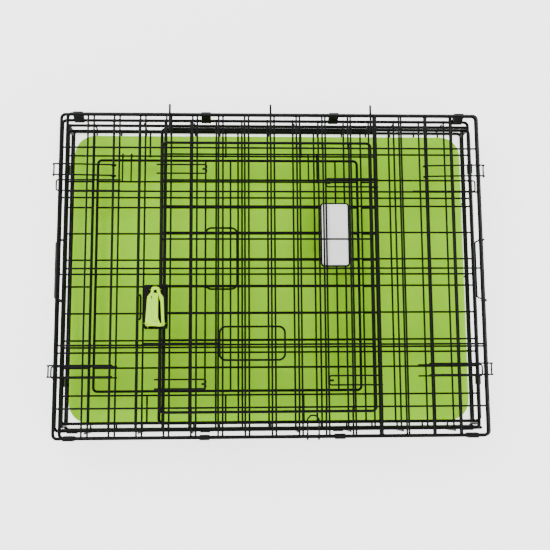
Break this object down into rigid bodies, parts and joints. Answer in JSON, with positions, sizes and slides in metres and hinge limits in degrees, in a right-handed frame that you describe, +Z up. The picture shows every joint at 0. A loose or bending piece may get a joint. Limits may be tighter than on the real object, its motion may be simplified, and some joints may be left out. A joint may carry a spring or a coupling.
{
  "type": "folding wire dog crate",
  "caption": "Wire crate for a small dog, folded flat: hinged mesh panels with door, latches and slide-out tray.",
  "frame": {"origin": "middle of the base frame, on the floor", "axes": "+X along the crate's length towards the side the tray slides out of; +Y across it, from the main hinge rail; +Z up"},
  "size_m": [0.6316, 0.4862, 0.1041],
  "materials": {
    "green_tray": "moulded, lightly textured",
    "green_grip": "gloss",
    "white_plate": "satin",
    "black_plastic": "matte",
    "black_clip": "satin",
    "hook_wire": "satin",
    "border_wire": "satin",
    "mesh_wire": "satin"
  },
  "bodies": {
    "base": {"back_kerb_wires": "mesh_wire", "back_rail": "border_wire", "base_border": "border_wire", "base_corner_posts": "border_wire", "base_cross_wires": "mesh_wire", "base_floor_wires": "mesh_wire", "end_door_border": "border_wire", "end_door_cross_wires": "mesh_wire", "end_door_hinge_eyes": "hook_wire", "end_door_uprights": "mesh_wire", "front_clips": "black_clip", "front_hinge_rail": "border_wire", "front_kerb_wires": "mesh_wire", "left_end_border": "border_wire", "left_end_clips": "black_clip", "left_end_cross_wires": "mesh_wire", "left_end_uprights": "mesh_wire", "left_hinge_rail": "border_wire", "right_end_border": "border_wire", "right_end_clips": "black_clip", "right_end_cross_wires": "mesh_wire", "right_end_uprights": "mesh_wire", "right_hinge_rail": "border_wire"},
    "tray": {"tray": "green_tray"},
    "end_door_bolt": {"end_door_bolt": "hook_wire"},
    "side_wall": {"side_wall_border": "border_wire", "side_wall_uprights": "mesh_wire", "side_wall_cross_wires": "mesh_wire", "side_wall_latches": "hook_wire", "name_plate_back": "black_plastic", "name_plate": "white_plate", "roof_clips": "black_clip"},
    "roof": {"roof_border": "border_wire", "roof_wires": "mesh_wire", "roof_cross_wires": "mesh_wire", "door_wall_clips": "black_clip"},
    "roof_hook_left": {"roof_hook_left": "hook_wire"},
    "roof_hook_right": {"roof_hook_right": "hook_wire"},
    "door_wall": {"door_wall_border": "border_wire", "door_wall_uprights": "mesh_wire", "door_wall_cross_wires": "mesh_wire", "door_hinge_post": "border_wire", "floor_tongues": "mesh_wire", "bolt_keeper": "hook_wire", "thumb_latch_keeper": "hook_wire"},
    "side_door": {"side_door_border": "border_wire", "side_door_uprights": "mesh_wire", "side_door_cross_wires": "mesh_wire", "side_door_hinge_eyes": "hook_wire", "side_door_stops": "hook_wire", "bolt_guides": "hook_wire", "thumb_latch_bracket": "black_plastic", "thumb_latch_pin": "hook_wire"},
    "side_door_bolt": {"side_door_bolt": "hook_wire"},
    "thumb_latch_lever": {"thumb_latch_lever": "green_grip"},
    "lock_ring": {"lock_ring": "hook_wire"},
    "end_latch_back_left": {"end_latch_back_left": "hook_wire"},
    "end_latch_back_right": {"end_latch_back_right": "hook_wire"},
    "end_latch_front_left": {"end_latch_front_left": "hook_wire"},
    "end_latch_front_right": {"end_latch_front_right": "hook_wire"}
  },
  "joints": [
    {"name": "tray_slide", "type": "slide", "parent": "base", "child": "tray", "axis": [1, 0, 0], "range_m": [0, 0.55]},
    {"name": "end_door_bolt_slide", "type": "slide", "parent": "base", "child": "end_door_bolt", "axis": [0, 1, 0], "range_m": [0, 0.015]},
    {"name": "side_wall_hinge", "type": "hinge", "parent": "base", "child": "side_wall", "pos_m": [0, -0.2286, 0.059], "axis": [1, 0, 0], "range_deg": [0, 90]},
    {"name": "roof_hinge", "type": "hinge", "parent": "side_wall", "child": "roof", "pos_m": [0, 0.234, 0.0735], "axis": [1, 0, 0], "range_deg": [-270, 0]},
    {"name": "door_wall_hinge", "type": "hinge", "parent": "roof", "child": "door_wall", "pos_m": [0, -0.2381, 0.088], "axis": [1, 0, 0], "range_deg": [0, 90]},
    {"name": "roof_hook_left_pivot", "type": "hinge", "parent": "roof", "child": "roof_hook_left", "pos_m": [-0.2988, 0, 0.0735], "axis": [0, 1, 0], "range_deg": [0, 140]},
    {"name": "roof_hook_right_pivot", "type": "hinge", "parent": "roof", "child": "roof_hook_right", "pos_m": [0.3108, 0, 0.0735], "axis": [0, 1, 0], "range_deg": [0, 140]},
    {"name": "side_door_hinge", "type": "hinge", "parent": "door_wall", "child": "side_door", "pos_m": [0.1524, 0, 0.092], "axis": [0, 1, 0], "range_deg": [0, 110]},
    {"name": "side_door_bolt_slide", "type": "slide", "parent": "side_door", "child": "side_door_bolt", "axis": [-1, 0, 0], "range_m": [0, 0.016]},
    {"name": "thumb_latch_pivot", "type": "hinge", "parent": "side_door", "child": "thumb_latch_lever", "pos_m": [-0.151, -0.0555, 0.1005], "axis": [0, 1, 0], "range_deg": [0, 60]},
    {"name": "lock_ring_pivot", "type": "hinge", "parent": "door_wall", "child": "lock_ring", "pos_m": [0.057, -0.2381, 0.088], "axis": [1, 0, 0], "range_deg": [0, 120]},
    {"name": "end_latch_back_left_pivot", "type": "hinge", "parent": "door_wall", "child": "end_latch_back_left", "pos_m": [-0.2286, 0.145, 0.0843], "axis": [0, 1, 0], "range_deg": [0, 100]},
    {"name": "end_latch_back_right_pivot", "type": "hinge", "parent": "door_wall", "child": "end_latch_back_right", "pos_m": [0.2286, 0.145, 0.0843], "axis": [0, -1, 0], "range_deg": [0, 100]},
    {"name": "end_latch_front_left_pivot", "type": "hinge", "parent": "door_wall", "child": "end_latch_front_left", "pos_m": [-0.2286, -0.145, 0.0843], "axis": [0, 1, 0], "range_deg": [0, 100]},
    {"name": "end_latch_front_right_pivot", "type": "hinge", "parent": "door_wall", "child": "end_latch_front_right", "pos_m": [0.2286, -0.145, 0.0843], "axis": [0, -1, 0], "range_deg": [0, 100]}
  ],
  "couplings": [
    {"joint": "roof_hinge", "follows": "side_wall_hinge", "ratio": -3},
    {"joint": "door_wall_hinge", "follows": "side_wall_hinge", "ratio": 1}
  ]
}
